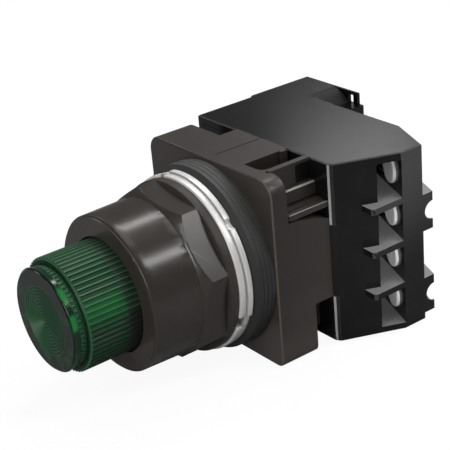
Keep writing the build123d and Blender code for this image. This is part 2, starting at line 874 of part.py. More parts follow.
    # Contact chamber and supply chamber, both open at the front behind the cover
    with BuildSketch(facing(body_depth)):
        with Locations((0, (block_top - lid_thick + terminal_low) / 2)):
            with Locations(((block_left + block_wall + chamber_right + 1) / 2, 0)):
                Rectangle(chamber_right + 1 - block_left - block_wall, block_top - lid_thick - terminal_low)
    extrude(amount=-plate_thick, mode=Mode.SUBTRACT)
    chamber_mid = (block_top - lid_thick + terminal_low) / 2
    chamber_height = block_top - lid_thick - terminal_low - 1.6
    with BuildSketch(facing(body_depth + plate_thick)):
        with Locations(((chamber_split + block_wall / 2 + chamber_right) / 2, chamber_mid)):
            Rectangle(chamber_right - chamber_split - block_wall / 2, chamber_height)
    extrude(amount=-(chamber_back - body_depth - plate_thick), mode=Mode.SUBTRACT)
    with BuildSketch(facing(body_depth + plate_thick)):
        with Locations(((block_left + block_wall + 0.8 + chamber_split - block_wall / 2) / 2, chamber_mid)):
            Rectangle(chamber_split - block_wall / 2 - block_left - block_wall - 0.8, chamber_height)
    extrude(amount=-(supply_chamber_back - body_depth - plate_thick), mode=Mode.SUBTRACT)
    # Wells of the supply screws in the rear face
    with BuildSketch(facing(supply_rear)):
        with Locations((supply_screw_x, supply_screw_z), (supply_screw_x, -supply_screw_z)):
            RectangleRounded(well_side, well_side, 1)
    extrude(amount=well_depth, mode=Mode.SUBTRACT)
    with BuildSketch(facing(well_floor)):
        with Locations((supply_screw_x, supply_screw_z), (supply_screw_x, -supply_screw_z)):
            Circle(screw_r)
    extrude(amount=well_floor_thick, mode=Mode.SUBTRACT)
    # Pilot holes of the cover screws
    with BuildSketch(facing(body_depth + plate_thick)):
        with Locations((chamber_split, block_top - lid_thick - 3.1), (chamber_split, terminal_low + 3.1)):
            Circle(0.6)
    extrude(amount=-6, mode=Mode.SUBTRACT)
    # Tab that enters the window in the side wall of the operator housing
    with BuildSketch(facing(body_depth)):
        with Locations((wall_x - wall_thick + slide_gap, tab_low + slide_gap)):
            Rectangle(wall_thick - 2 * slide_gap, flange_top - tab_low - 0.7 - 2 * slide_gap,
                      align=(Align.MIN, Align.MIN))
    extrude(amount=body_depth - tab_front - slide_gap)
    with BuildSketch(facing(body_depth)):
        with Locations((wall_x - wall_thick + slide_gap, tab_low + slide_gap)):
            Rectangle(4, flange_top - tab_low - 0.7 - 2 * slide_gap, align=(Align.MIN, Align.MIN))
    extrude(amount=-plate_thick)
save(block.part, "block_housing")

# Cover: plate that closes the front of the block, with the tongue for the latch
cover_gap = 0.1
cover_left = block_left + block_wall + cover_gap
cover_right = chamber_right + 1 - cover_gap
cover_low = terminal_low + cover_gap
cover_high = block_top - lid_thick - cover_gap
plunger_z = (terminal_z(1) + terminal_z(2)) / 2
cover_screw_z = (cover_high - 3, cover_low + 3)
with BuildPart() as cover:
    with BuildSketch(facing(body_depth)):
        with Locations((cover_left, cover_low)):
            Rectangle(cover_right - cover_left, cover_high - cover_low, align=(Align.MIN, Align.MIN))
    extrude(amount=-(plate_thick - cover_gap))
    with BuildSketch(facing(body_depth)):
        with Locations((tongue_left, tongue_low)):
            Rectangle(tongue_width, tongue_thick, align=(Align.MIN, Align.MIN))
    extrude(amount=tongue_reach)
    with BuildSketch(Plane.YZ.offset(tongue_left)):
        with Locations((nib_y, tongue_low)):
            Rectangle(1.7, 2 * (latch_top + nib_height + nib_gap - tongue_low))
    extrude(amount=tongue_width, mode=Mode.SUBTRACT)
    with BuildSketch(facing(body_depth)):
        with Locations((contact_x, plunger_z)):
            Circle(stem_r + running_gap)
        for z in cover_screw_z:
            with Locations((chamber_split, z)):
                Circle(cover_screw_r + 0.05)
    extrude(amount=-plate_thick, mode=Mode.SUBTRACT)
    with BuildSketch(facing(body_depth)):
        for z in cover_screw_z:
            with Locations((chamber_split, z)):
                Circle(cover_head_r + 0.1)
    extrude(amount=-0.9, mode=Mode.SUBTRACT)
save(cover.part, "block_cover")

with BuildPart() as cover_screws:
    with Locations(*[facing(body_depth + 0.1) * Location((chamber_split, z, 0)) for z in cover_screw_z]):
        with Locations((0, 0, -0.8)):
            Cylinder(cover_head_r, 0.8, align=(Align.CENTER, Align.CENTER, Align.MIN))
        with Locations((0, 0, -6)):
            Cylinder(cover_screw_r, 5.2, align=(Align.CENTER, Align.CENTER, Align.MIN))
        with Locations((0, 0, 0)):
            Box(2 * cover_head_r, 0.4, 0.7, mode=Mode.SUBTRACT)
save(cover_screws.part, "cover_screws")

# Contact carrier: stem, spine and arms with windows for the bridges
make_z = (terminal_z(0) + terminal_z(1)) / 2
break_z = (terminal_z(2) + terminal_z(3)) / 2
spine_front = body_depth + plate_thick + 0.5
spine_thick = 2.5
arm_half_x = 2.2
arm_half_z = 2.0
spine_left = contact_x - 4.7
spine_right = contact_x - arm_half_x
make_bridge_back = make_plane - make_gap - tip_thick
make_window_front = spine_front + spine_thick
break_bridge_front = break_plane + 2 * tip_thick
break_window_front = break_bridge_front - 2.05
break_window_back = break_bridge_front + bridge_thick + 5.0
with BuildPart() as carrier:
    with BuildSketch(facing(ring_back + 0.05)):
        with Locations((contact_x, plunger_z)):
            Circle(stem_r)
    extrude(amount=-(spine_front - ring_back - 0.05))
    with BuildSketch(facing(spine_front)):
        with Locations(((spine_left + spine_right) / 2, (make_z + break_z) / 2)):
            Rectangle(spine_right - spine_left, make_z - break_z + 2 * arm_half_z)
        for z in (make_z, plunger_z, break_z):
            with Locations(((spine_left + contact_x + arm_half_x) / 2, z)):
                Rectangle(contact_x + arm_half_x - spine_left, 2 * arm_half_z)
    extrude(amount=-spine_thick)
    for z, back in ((make_z, make_bridge_back + 1.8), (break_z, break_window_back + 1.6)):
        with BuildSketch(facing(spine_front + spine_thick)):
            with Locations((contact_x, z)):
                Rectangle(2 * arm_half_x, 2 * arm_half_z)
        extrude(amount=-(back - spine_front - spine_thick))
    for z, front, back in (
        (make_z, make_window_front, make_bridge_back),
        (break_z, break_window_front, break_window_back),
    ):
        with BuildSketch(facing(front)):
            with Locations((contact_x, z)):
                Rectangle(bridge_width + 2 * window_gap, 2 * arm_half_z)
        extrude(amount=-(back - front), mode=Mode.SUBTRACT)
save(carrier.part, "contact_carrier")

# Bridges: a plate with a contact tip near each end
tip_reach = pitch / 2 - strip_width / 2 + tip_r + 0.1
bridge_half = tip_reach + tip_r + 0.3


def bridge(z, plate_front, tip_front):
    with BuildPart() as piece:
        with BuildSketch(facing(plate_front)):
            with Locations((contact_x, z)):
                RectangleRounded(bridge_width, 2 * bridge_half, 0.8)
        extrude(amount=-bridge_thick)
        with BuildSketch(facing(tip_front)):
            with Locations((contact_x, z - tip_reach), (contact_x, z + tip_reach)):
                Circle(bridge_width / 2 - 0.1)
        extrude(amount=-tip_thick)
    return piece.part


save(bridge(make_z, make_bridge_back - bridge_thick, make_bridge_back), "bridge_no")
save(bridge(break_z, break_bridge_front, break_plane + tip_thick), "bridge_nc")


# Springs that load the bridges and push the carrier back
def contact_spring(z, front, back, coil_r, wire_r, turns):
    place = Plane(origin=(contact_x, front, z), x_dir=(1, 0, 0), z_dir=(0, 1, 0))
    return coil_spring(place, coil_r, wire_r, back - front, turns)


save(contact_spring(make_z, make_window_front, make_bridge_back - bridge_thick,
                    contact_coil_r, contact_wire_r, contact_turns), "spring_no")
save(contact_spring(break_z, break_bridge_front + bridge_thick, break_window_back,
                    contact_coil_r, contact_wire_r, contact_turns), "spring_nc")
save(contact_spring(plunger_z, spine_front + spine_thick, chamber_back,
                    carrier_coil_r, carrier_wire_r, carrier_turns), "carrier_spring")

# Terminals: contact strip, clamp disc and screw for each, named from the top
for index in range(terminal_count):
    z = terminal_z(index)
    makes = index < 2
    inner = make_z if makes else break_z
    strip_y = make_plane + tip_thick + strip_thick / 2 if makes else break_plane - strip_thick / 2
    tip_y = make_plane if makes else break_plane
    middle = -strip_thick / 2
    start = on_slant(strip_end_x, middle)
    bend = on_slant(chamber_right - 0.6, middle)
    corner_x = chamber_right - 1.4
    path = [
        (start.X, start.Y),
        (bend.X, bend.Y),
        (corner_x, bend.Y + 0.25),
        (corner_x, strip_y),
        (contact_x - tip_r - 0.5, strip_y),
    ]
    tip_z = inner + tip_reach if z > inner else inner - tip_reach
    with BuildPart() as strip:
        with BuildSketch(Plane.XY.offset(z - strip_width / 2)):
            for (x0, y0), (x1, y1) in zip(path, path[1:]):
                turn = degrees(atan2(y1 - y0, x1 - x0))
                with Locations(Location(((x0 + x1) / 2, (y0 + y1) / 2, 0), (0, 0, turn))):
                    Rectangle(hypot(x1 - x0, y1 - y0), strip_thick)
            with Locations(*path[1:-1]):
                Circle(strip_thick / 2)
        extrude(amount=strip_width)
        with BuildSketch(facing(tip_y)):
            with Locations((contact_x, tip_z)):
                Circle(tip_r - 0.1)
        extrude(amount=-tip_thick if makes else tip_thick, mode=Mode.ADD)
        with BuildSketch(terminal_plane(z, 0)):
            Circle(screw_r + slide_gap)
        extrude(amount=strip_thick + slide_gap, mode=Mode.SUBTRACT)
    save(strip.part, f"terminal_strip_{index + 1}")
    with BuildPart() as disc:
        with BuildSketch(terminal_plane(z, 0)):
            Circle(disc_r)
        extrude(amount=-disc_thick)
        seat_axis = Axis(origin=(0, 0, 0), direction=slant_out)
        fillet(disc.edges().filter_by(GeomType.CIRCLE).sort_by(seat_axis)[0], disc_edge_r)
        with BuildSketch(terminal_plane(z, 0)):
            Circle(screw_r + running_gap / 2)
        extrude(amount=-disc_thick / 2, mode=Mode.SUBTRACT)
    save(disc.part, f"clamp_disc_{index + 1}")
    with BuildPart() as screw:
        with BuildSketch(terminal_plane(z, -(seat_depth - head_well))):
            Circle(head_r)
        extrude(amount=head_thick)
        with BuildSketch(terminal_plane(z, disc_thick / 2)):
            Circle(screw_r)
        extrude(amount=disc_thick / 2 + seat_depth - head_well)
        with BuildSketch(terminal_plane(z, -(seat_depth - head_well + head_thick))):
            Rectangle(2 * head_r + 1, slot_width)
            Rectangle(slot_width, 1.2 * head_r)
        extrude(amount=-slot_width, mode=Mode.SUBTRACT)
    save(screw.part, f"terminal_screw_{index + 1}")

# Lamp supply: laminated core with two windows, and the winding on its middle limb
core_x = -11.0
limb = 7.0
window_depth = 6.0
window_height = 20.0
core_mid = core_front + core_depth / 2
with BuildPart() as core:
    with BuildSketch(Plane.YZ.offset(core_x - core_width / 2)):
        with Locations((core_mid, 0)):
            Rectangle(core_depth, core_height)
            with Locations((-(limb + window_depth) / 2, 0), ((limb + window_depth) / 2, 0)):
                Rectangle(window_depth, window_height, mode=Mode.SUBTRACT)
    extrude(amount=core_width)
save(core.part, "transformer_core")

with BuildPart() as coil:
    with BuildSketch(Plane.XY.offset(-(window_height / 2 - 0.2))):
        with Locations((core_x, core_mid)):
            RectangleRounded(coil_width, limb + 2 * window_depth - 0.4, 2)
            Rectangle(core_width + 0.2, limb + 0.2, mode=Mode.SUBTRACT)
    extrude(amount=window_height - 0.4)
save(coil.part, "transformer_coil")

# Supply terminals in the rear wells: a square plate under each screw
with BuildPart() as supply_plates:
    with BuildSketch(facing(well_floor)):
        with Locations((supply_screw_x, supply_screw_z), (supply_screw_x, -supply_screw_z)):
            RectangleRounded(plate_side, plate_side, 0.8)
            Circle(screw_r, mode=Mode.SUBTRACT)
    extrude(amount=-supply_plate_thick)
save(supply_plates.part, "supply_plates")

with BuildPart() as supply_screws:
    plate_front = well_floor + supply_plate_thick
    with BuildSketch(facing(plate_front)):
        with Locations((supply_screw_x, supply_screw_z), (supply_screw_x, -supply_screw_z)):
            Circle(supply_head_r)
    extrude(amount=-head_thick)
    with BuildSketch(facing(plate_front)):
        with Locations((supply_screw_x, supply_screw_z), (supply_screw_x, -supply_screw_z)):
            Circle(screw_r - slide_gap)
    extrude(amount=supply_plate_thick + well_floor_thick)
    with BuildSketch(facing(plate_front + head_thick)):
        with Locations((supply_screw_x, supply_screw_z), (supply_screw_x, -supply_screw_z)):
            Rectangle(2 * head_r + 1, slot_width)
            Rectangle(slot_width, 1.2 * head_r)
    extrude(amount=slot_width, mode=Mode.SUBTRACT)
save(supply_screws.part, "supply_screws")
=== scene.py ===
# %% [markdown]
# # An illuminated push button for a panel
#
# The solids come from the part's own CAD model. This script gives them their finishes, adds the
# small details that a mould or a machine leaves, and lights the button as a product picture.

# %% Bring in the frame
import bpy
import json
from math import cos, pi, radians, sin
from mathutils import Matrix, Vector


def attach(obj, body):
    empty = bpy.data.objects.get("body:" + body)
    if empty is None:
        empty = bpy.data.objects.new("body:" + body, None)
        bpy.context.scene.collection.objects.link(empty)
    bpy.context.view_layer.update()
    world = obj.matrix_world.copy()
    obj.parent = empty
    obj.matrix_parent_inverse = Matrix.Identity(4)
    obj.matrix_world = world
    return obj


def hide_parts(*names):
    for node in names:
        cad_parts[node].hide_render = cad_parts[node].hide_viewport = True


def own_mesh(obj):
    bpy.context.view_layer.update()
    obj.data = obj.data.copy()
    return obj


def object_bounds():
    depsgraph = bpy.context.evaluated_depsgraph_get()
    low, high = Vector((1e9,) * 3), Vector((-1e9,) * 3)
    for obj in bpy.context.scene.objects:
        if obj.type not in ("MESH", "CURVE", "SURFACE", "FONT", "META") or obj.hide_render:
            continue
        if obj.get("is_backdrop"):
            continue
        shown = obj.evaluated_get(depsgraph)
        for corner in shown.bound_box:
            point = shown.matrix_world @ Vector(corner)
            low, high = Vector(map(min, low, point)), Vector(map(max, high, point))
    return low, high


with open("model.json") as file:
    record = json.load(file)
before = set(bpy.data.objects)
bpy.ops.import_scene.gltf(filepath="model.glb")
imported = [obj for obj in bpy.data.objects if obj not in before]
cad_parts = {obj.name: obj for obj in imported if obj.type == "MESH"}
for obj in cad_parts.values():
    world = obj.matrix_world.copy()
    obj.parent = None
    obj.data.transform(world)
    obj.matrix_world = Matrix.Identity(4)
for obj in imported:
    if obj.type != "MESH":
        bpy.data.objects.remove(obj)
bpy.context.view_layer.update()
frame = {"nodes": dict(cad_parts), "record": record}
nodes = frame["nodes"]

# %% [markdown]
# ## Camera
#
# The picture is taken from in front and from the terminals' side, a little above the button, with
# a long lens. The camera rolls a few degrees, so the travel axis rises to the right. The shift of
# the object in the picture comes from moving the camera sideways, not from a lens shift.

# %% Camera
AZIMUTH = 54.434
ELEVATION = 24.955
ROLL = -5.269
ASIDE = (2.281, 5.548)
DISTANCE = 289.449
FOCAL_PIXELS = 1319.322
SENSOR_WIDTH = 36
PICTURE = 450
MM = 0.001


def camera_axes():
    """Right, up and forward directions of the camera, after its roll."""
    a = radians(AZIMUTH)
    e = radians(ELEVATION)
    r = radians(ROLL)
    forward = Vector((-sin(a) * cos(e), cos(a) * cos(e), -sin(e)))
    level = Vector((cos(a), sin(a), 0))
    upright = level.cross(forward)
    right = level * cos(r) + upright * sin(r)
    up = -level * sin(r) + upright * cos(r)
    return right, up, forward


def add_camera():
    right, up, forward = camera_axes()
    data = bpy.data.cameras.new("camera")
    data.sensor_width = SENSOR_WIDTH
    data.lens = SENSOR_WIDTH * FOCAL_PIXELS / PICTURE
    data.clip_end = 10
    camera = bpy.data.objects.new("camera", data)
    place = (right * ASIDE[0] + up * ASIDE[1] - forward * DISTANCE) * MM
    camera.matrix_world = Matrix((
        (right.x, up.x, -forward.x, place.x),
        (right.y, up.y, -forward.y, place.y),
        (right.z, up.z, -forward.z, place.z),
        (0, 0, 0, 1),
    ))
    bpy.context.scene.collection.objects.link(camera)
    bpy.context.scene.camera = camera
    return camera


camera = add_camera()
print("lens:", round(camera.data.lens, 1), "mm")

# %% [markdown]
# ## Shader arithmetic
#
# A finish is a set of rules, such as "darker in the grooves" or "rougher where the mould was
# worn". Writing these rules as ordinary sums keeps them readable. `Value` wraps one socket of a
# shader, and every sum of two of them adds the node that works it out.

# %% Shader arithmetic
class Value:
    """A number, vector or colour socket that can be used in ordinary sums."""

    def __init__(self, graph, socket):
        self.graph = graph
        self.socket = socket

    def sum(self, kind, *others):
        return self.graph.add("ShaderNodeMath", "Value", kind=kind, values=(self, *others))

    def __add__(self, other):
        return self.sum("ADD", other)

    def __radd__(self, other):
        return self.sum("ADD", other)

    def __sub__(self, other):
        return self.sum("SUBTRACT", other)

    def __rsub__(self, other):
        return self.graph.number(other).sum("SUBTRACT", self)

    def __mul__(self, other):
        return self.sum("MULTIPLY", other)

    def __rmul__(self, other):
        return self.sum("MULTIPLY", other)

    def __truediv__(self, other):
        return self.sum("DIVIDE", other)

    def __rtruediv__(self, other):
        return self.graph.number(other).sum("DIVIDE", self)

    def __neg__(self):
        return self.sum("MULTIPLY", -1)

    def most(self, other):
        return self.sum("MAXIMUM", other)

    def size(self):
        return self.sum("ABSOLUTE")

    def root(self):
        return self.sum("SQRT")

    def fraction(self):
        return self.sum("FRACT")

    def angle(self, other):
        return self.sum("ARCTAN2", other)

    def above(self, limit):
        return self.sum("GREATER_THAN", limit)

    def between(self, low, high):
        return self.above(low) * (1 - self.above(high))

    def ramp(self, low, high, start=0.0, end=1.0):
        """Smooth change from start at low to end at high, and flat outside them."""
        return self.graph.add("ShaderNodeMapRange", "Result", interpolation_type="SMOOTHSTEP",
                              values={"Value": self, "From Min": low, "From Max": high,
                                      "To Min": start, "To Max": end})


print("sums of sockets are ready")

# %% [markdown]
# ## The tree of a finish
#
# Every finish is a tree of nodes that ends in one surface shader. `Graph` holds the tree of one
# finish. Its `add` makes any node, and the other methods are short names for what most finishes
# need: the place on the piece, the direction of the surface, a noise, a mix of two colours.

# %% The tree of a finish
class Graph:
    """The node tree of one material."""

    def __init__(self, name):
        self.material = bpy.data.materials.new(name)
        self.material.use_nodes = True
        self.tree = self.material.node_tree
        self.tree.nodes.clear()
        self.kept = {}

    def add(self, node_type, output=None, kind=None, values=(), **settings):
        """Adds any node, sets its inputs, and returns one of its outputs as a Value."""
        node = self.tree.nodes.new(node_type)
        if kind:
            node.operation = kind
        for name, setting in settings.items():
            setattr(node, name, setting)
        pairs = values.items() if isinstance(values, dict) else enumerate(values)
        for key, value in pairs:
            self.feed(node.inputs[key], value)
        if output is None:
            return node
        return Value(self, node.outputs[output])

    def feed(self, entry, value):
        if isinstance(value, Value):
            self.tree.links.new(value.socket, entry)
        else:
            entry.default_value = value

    def number(self, value):
        node = self.add("ShaderNodeValue")
        node.outputs[0].default_value = value
        return Value(self, node.outputs[0])

    def place(self):
        """Position in the object's own frame, in millimetres, as x, y and z."""
        if "place" not in self.kept:
            point = self.add("ShaderNodeTexCoord", "Object")
            split = self.add("ShaderNodeSeparateXYZ", values=(point,))
            self.kept["place"] = [Value(self, socket) * 1000 for socket in split.outputs]
            self.kept["point"] = point
        return self.kept["place"]

    def point(self, stretch=(1, 1, 1)):
        """Position in millimetres as a vector, stretched along each axis."""
        self.place()
        scale = tuple(1000 * s for s in stretch)
        return self.add("ShaderNodeVectorMath", 0, kind="MULTIPLY",
                        values=(self.kept["point"], scale))

    def facing(self):
        """Direction of the surface as x, y and z."""
        if "facing" not in self.kept:
            normal = self.add("ShaderNodeNewGeometry", "Normal")
            split = self.add("ShaderNodeSeparateXYZ", values=(normal,))
            self.kept["facing"] = [Value(self, socket) for socket in split.outputs]
        return self.kept["facing"]

    def noise(self, scale, detail=3.0, stretch=(1, 1, 1), rough=0.5):
        """Cloudy pattern between 0 and 1. scale is its cell count per millimetre."""
        return self.add("ShaderNodeTexNoise", "Fac", values={
            "Vector": self.point(stretch), "Scale": scale, "Detail": detail, "Roughness": rough})

    def mix(self, share, first, second):
        """Colour between first and second."""
        node = self.add("ShaderNodeMix", data_type="RGBA", clamp_factor=True)
        self.feed(node.inputs[0], share)
        self.feed(node.inputs[6], first)
        self.feed(node.inputs[7], second)
        return Value(self, node.outputs[2])

    def bump(self, height, distance, strength=1.0):
        """Surface direction disturbed by a height, a share of the distance in millimetres."""
        return self.add("ShaderNodeBump", "Normal", values={
            "Height": height, "Distance": distance * MM, "Strength": strength})

    def surface(self, **inputs):
        """The plain surface shader. Names are its inputs with underscores for blanks."""
        values = {name.replace("_", " "): value for name, value in inputs.items()}
        return self.add("ShaderNodeBsdfPrincipled", "BSDF", values=values)

    def finish(self, shader):
        output = self.add("ShaderNodeOutputMaterial")
        self.tree.links.new(shader.socket, output.inputs["Surface"])
        print("finish", self.material.name, "nodes", len(self.tree.nodes))
        return self.material


def grey(level, warm=0.0):
    return (level * (1 + warm), level, level * (1 - warm), 1)


finishes = {}
print("middle grey:", grey(0.5))

# %% [markdown]
# ## Crisp moulded edges
#
# No moulded edge is perfectly sharp. Its small radius catches the light as a thin pale line, and
# that line tells the eye what size the object is. The solids leave this radius out, so that the
# model stays light. A bevel modifier can add it without a change to the solid: the mesh that the
# CAD hands over has its faces split apart, so a weld joins them first.

# %% Edge radius
def soften(node, width, parts=2, angle=32):
    """Gives the sharp edges of a CAD node a small radius, in millimetres."""
    piece = nodes[node]
    weld = piece.modifiers.new("weld", "WELD")
    weld.merge_threshold = 1e-6
    bevel = piece.modifiers.new("edge_radius", "BEVEL")
    bevel.width = width * MM
    bevel.segments = parts
    bevel.limit_method = "ANGLE"
    bevel.angle_limit = radians(angle)
    bevel.harden_normals = True
    bevel.use_clamp_overlap = True


for node, width in (("retaining_nut", 0.16), ("operator_housing", 0.14), ("block_housing", 0.12),
                    ("locating_ring", 0.1), ("thrust_washer", 0.1)):
    soften(node, width)
print("softened edges")

# %% [markdown]
# ## Brown plastic
#
# The operator housing and the nut are moulded in a hard, glossy, almost black brown plastic. Fine
# flow marks and a very light orange peel break up its reflections. The side faces carry painted
# shade towards the top and painted light towards the bottom, the low part of the flange's front
# carries painted light, and thin painted highlights lie along the flange's right front edge, the
# grip bar's edge and the latch's edge.

# %% Brown plastic
NUT_FLANGE = (-10.7, -8.4)    # along y: the nut's round rear flange
HOUSING_FRONT = -0.5          # along y: just in front of the housing's flange
BROWN = ((0.043, 0.036, 0.0325, 1), (0.050, 0.042, 0.038, 1))
BROWN_SIDE_SHADE = (0.036, 0.030, 0.0265, 1)
BROWN_LOW_SIDE_LIGHT = (0.085, 0.074, 0.068, 1)
BROWN_LOW_FRONT_LIGHT = (0.085, 0.075, 0.07, 1)
BROWN_EDGE_HIGHLIGHT = (0.12, 0.105, 0.095, 1)
HIGHLIGHT_LINE = (0.62, 0.58, 0.54, 1)


def painted_edge_highlights(g, color):
    """Painted highlights on the flange's front edge at the right, the grip bar and the latch."""
    x, y, z = g.place()
    front = -g.facing()[1]
    highlight_strength = 0.7 + 0.4 * g.noise(0.6, 3)
    front_edge = front.ramp(0.25, 0.5) * front.ramp(0.97, 0.9)
    front_edge = front_edge * y.between(HOUSING_FRONT, 1.5) * x.above(17.6)
    bar_edge = x.between(17.08, 17.8) * z.between(16.55, 17.0) * y.above(1.0)
    latch_edge = x.above(21.2) * z.between(13.3, 13.7) * y.between(4.5, 14.9)
    color = g.mix(front_edge * highlight_strength, color, BROWN_EDGE_HIGHLIGHT)
    return g.mix(bar_edge.most(latch_edge * 0.6) * highlight_strength, color, HIGHLIGHT_LINE)


def brown_plastic():
    g = Graph("brown_plastic")
    x, y, z = g.place()
    nx, ny, nz = g.facing()
    color = g.mix(g.noise(0.12, 4).ramp(0.3, 0.7), *BROWN)
    # Painted shade on the upper part of the side faces and painted light on their low part.
    side = nx.ramp(0.9, 0.98) * y.above(HOUSING_FRONT)
    color = g.mix(side * z.ramp(-10.0, -2.0), color, BROWN_SIDE_SHADE)
    color = g.mix(side * z.ramp(-11.0, -18.0) * 0.7, color, BROWN_LOW_SIDE_LIGHT)
    # Painted light on the low part of the flange's front.
    low_front = (-ny).ramp(0.9, 0.98) * y.between(HOUSING_FRONT, 0.6) * z.ramp(-8.0, -13.0)
    color = painted_edge_highlights(g, g.mix(low_front * 0.8, color, BROWN_LOW_FRONT_LIGHT))
    rough = 0.2 + 0.08 * g.noise(0.35, 3) + 0.3 * y.between(*NUT_FLANGE) + 0.14 * y.above(-5.0)
    return g.finish(g.surface(Base_Color=color, Roughness=rough, Specular_IOR_Level=0.45,
                              Normal=g.bump(g.noise(0.8, 1), 0.003)))


finishes["brown_plastic"] = brown_plastic()

# %% [markdown]
# ## Black plastic
#
# The contact block is black and smooth. Its edges carry painted highlights, and the upper faces of
# the walls between the terminals carry painted light from above, mottled by a fine grain. The
# share of an edge is found from the direction of the surface: on a flat face it matches one of the
# block's face directions, and on an edge radius it lies between two of them.

# %% Face directions of the block
BLOCK_FACES = [(0.92, -0.4, 0.0), (0.38, 0.93, 0.0), (0.61, 0.8, 0.0), (0.96, -0.28, 0.0)]
CHAMFER_FACE = (0.55, -0.84)    # x and y of the front corner's chamfer


def edge_share(g, directions, start=0.985, end=0.93):
    """Share of an edge radius: 0 on faces along the given directions, 1 between them."""
    x, y, z = g.facing()
    nearest = x.size().most(y.size()).most(z.size())
    for a, b, c in directions:
        nearest = nearest.most((x * a + y * b + z * c).size())
    return nearest.ramp(start, end)


print("face directions:", len(BLOCK_FACES))

# %% [markdown]
# ### The block's finish
#
# One finish serves the whole block. Each part of it is found by its place and direction: painted
# light on the side face at the terminals, paler towards the top; a painted highlight on the
# chamfer at the front corner, near its top and its foot, with painted shade between them and on
# its outer edge; painted shade in the rougher hollow at the rear; and painted light on the upper
# faces of the walls between the terminals.

# %% Black plastic
BLOCK_REAR = 41.5       # along y: where the rear part of the block begins
HOLLOW_EDGE = -5.2      # along x: between the rear part's rounded hollow and its flat top
TOP_OF_WALLS = 20.0     # along z: above the top wall between the terminals
BLACK = ((0.0045, 0.0045, 0.0048, 1), (0.0065, 0.0065, 0.0068, 1))
BLACK_SIDE_LIGHT = (0.07, 0.07, 0.07, 1)
BLACK_EDGE_HIGHLIGHT = (0.075, 0.075, 0.074, 1)
CHAMFER_MIDDLE_SHADE = (0.008, 0.0075, 0.007, 1)
CHAMFER_END_HIGHLIGHT_AND_SHADE = ((0.34, 0.34, 0.335, 1), (0.012, 0.012, 0.012, 1))
BLACK_HOLLOW_SHADE = (0.004, 0.004, 0.004, 1)
PAINTED_TOP_LIGHT = (0.285, 0.285, 0.287, 1)


def painted_chamfer_highlight(g, color, highlight_strength):
    """Painted highlight on the front chamfer, with painted shade on its middle and outer edge."""
    x, y, z = g.place()
    nx, ny, nz = g.facing()
    chamfer = (nx * CHAMFER_FACE[0] + ny * CHAMFER_FACE[1]).above(0.985) * x.above(20.0)
    ends = z.ramp(7.6, 8.0) + z.ramp(-9.2, -9.6)
    color = g.mix(chamfer * (1 - ends), color, CHAMFER_MIDDLE_SHADE)
    return g.mix(chamfer * ends * highlight_strength, color, g.mix(x.above(22.05), *CHAMFER_END_HIGHLIGHT_AND_SHADE))


def black_plastic():
    g = Graph("black_plastic")
    x, y, z = g.place()
    nx, ny, nz = g.facing()
    color = g.mix(g.noise(0.2, 3).ramp(0.3, 0.7), *BLACK)
    # Painted light: the side face at the terminals grows paler towards the top.
    side = nx.above(0.98) * x.above(28.0)
    color = g.mix(side * z.ramp(-6.0, 24.0), color, BLACK_SIDE_LIGHT)
    highlight_strength = 0.65 + 0.5 * g.noise(0.6, 3)
    rear = y.above(BLOCK_REAR) * x.above(HOLLOW_EDGE)
    # Painted highlights on the edge radii, outside the rear part.
    color = g.mix(edge_share(g, BLOCK_FACES) * (1 - rear) * highlight_strength, color, BLACK_EDGE_HIGHLIGHT)
    color = painted_chamfer_highlight(g, color, highlight_strength)
    # Painted shade in the rear hollow, which is also made rougher.
    hollow = y.above(BLOCK_REAR) * (1 - x.above(HOLLOW_EDGE)) * z.above(8.0)
    hollow = hollow * nx.ramp(0.1, 0.2) * nx.ramp(0.9, 0.8) * nz.above(0.1)
    color = g.mix(hollow, color, BLACK_HOLLOW_SHADE)
    # Painted light from above on the upper faces of the walls between the terminals, mottled by a
    # grain.
    lit_wall_tops = nz.above(0.9) * x.above(14.9) * (1 - z.above(TOP_OF_WALLS)) * (1 - rear)
    color = g.mix(lit_wall_tops * (0.72 + 0.4 * g.noise(3.5, 4)), color, PAINTED_TOP_LIGHT)
    rough = 0.2 + 0.04 * g.noise(0.4, 3) + 0.35 * hollow
    return g.finish(g.surface(Base_Color=color, Roughness=rough, Specular_IOR_Level=0.3,
                              Normal=g.bump(g.noise(5.0, 2), 0.001)))


finishes["black_plastic"] = black_plastic()

# %% [markdown]
# ## Black rubber
#
# The gasket and the wiper seal are soft black rubber. Rubber takes up dust and a grain from its
# mould, so it is matt and a little paler than the plastic. The bevel at the gasket's front is
# darker, and the upper part of its rim is paler, mottled by the grain.

# %% Rubber
GASKET_BEVEL = -4.3     # along y: where the gasket's front bevel meets its rim
RUBBER = ((0.028, 0.0275, 0.027, 1), (0.060, 0.059, 0.058, 1))
RUBBER_UPPER_PALE = (0.115, 0.113, 0.111, 1)
RUBBER_BEVEL = (0.018, 0.0175, 0.0175, 1)


def black_rubber():
    g = Graph("black_rubber")
    y = g.place()[1]
    grain = g.noise(4.0, 4)
    rim = y.ramp(GASKET_BEVEL - 0.1, GASKET_BEVEL + 0.1)
    bevel = y.ramp(GASKET_BEVEL + 0.1, GASKET_BEVEL - 0.1)
    # Paler on the upper part of the rim, mottled by the grain.
    upper_pale = g.facing()[2].ramp(0.1, 0.75) * rim * grain.ramp(0.3, 0.7, 0.3, 0.9)
    color = g.mix(upper_pale, g.mix(grain, *RUBBER), RUBBER_UPPER_PALE)
    color = g.mix(bevel * 0.3, color, RUBBER_BEVEL)
    return g.finish(g.surface(Base_Color=color, Roughness=0.55 + 0.1 * grain,
                              Specular_IOR_Level=0.3, Normal=g.bump(grain, 0.02)))


finishes["black_rubber"] = black_rubber()

# %% [markdown]
# ## Plain metals
#
# The springs, the transformer's core and the contacts are bare metal, and the winding is copper
# under a thin lacquer. One recipe serves them all: a noise stretched along the grain of the work
# gives the drawn or rolled lines, and the same noise makes the metal a little rougher where it is
# paler.

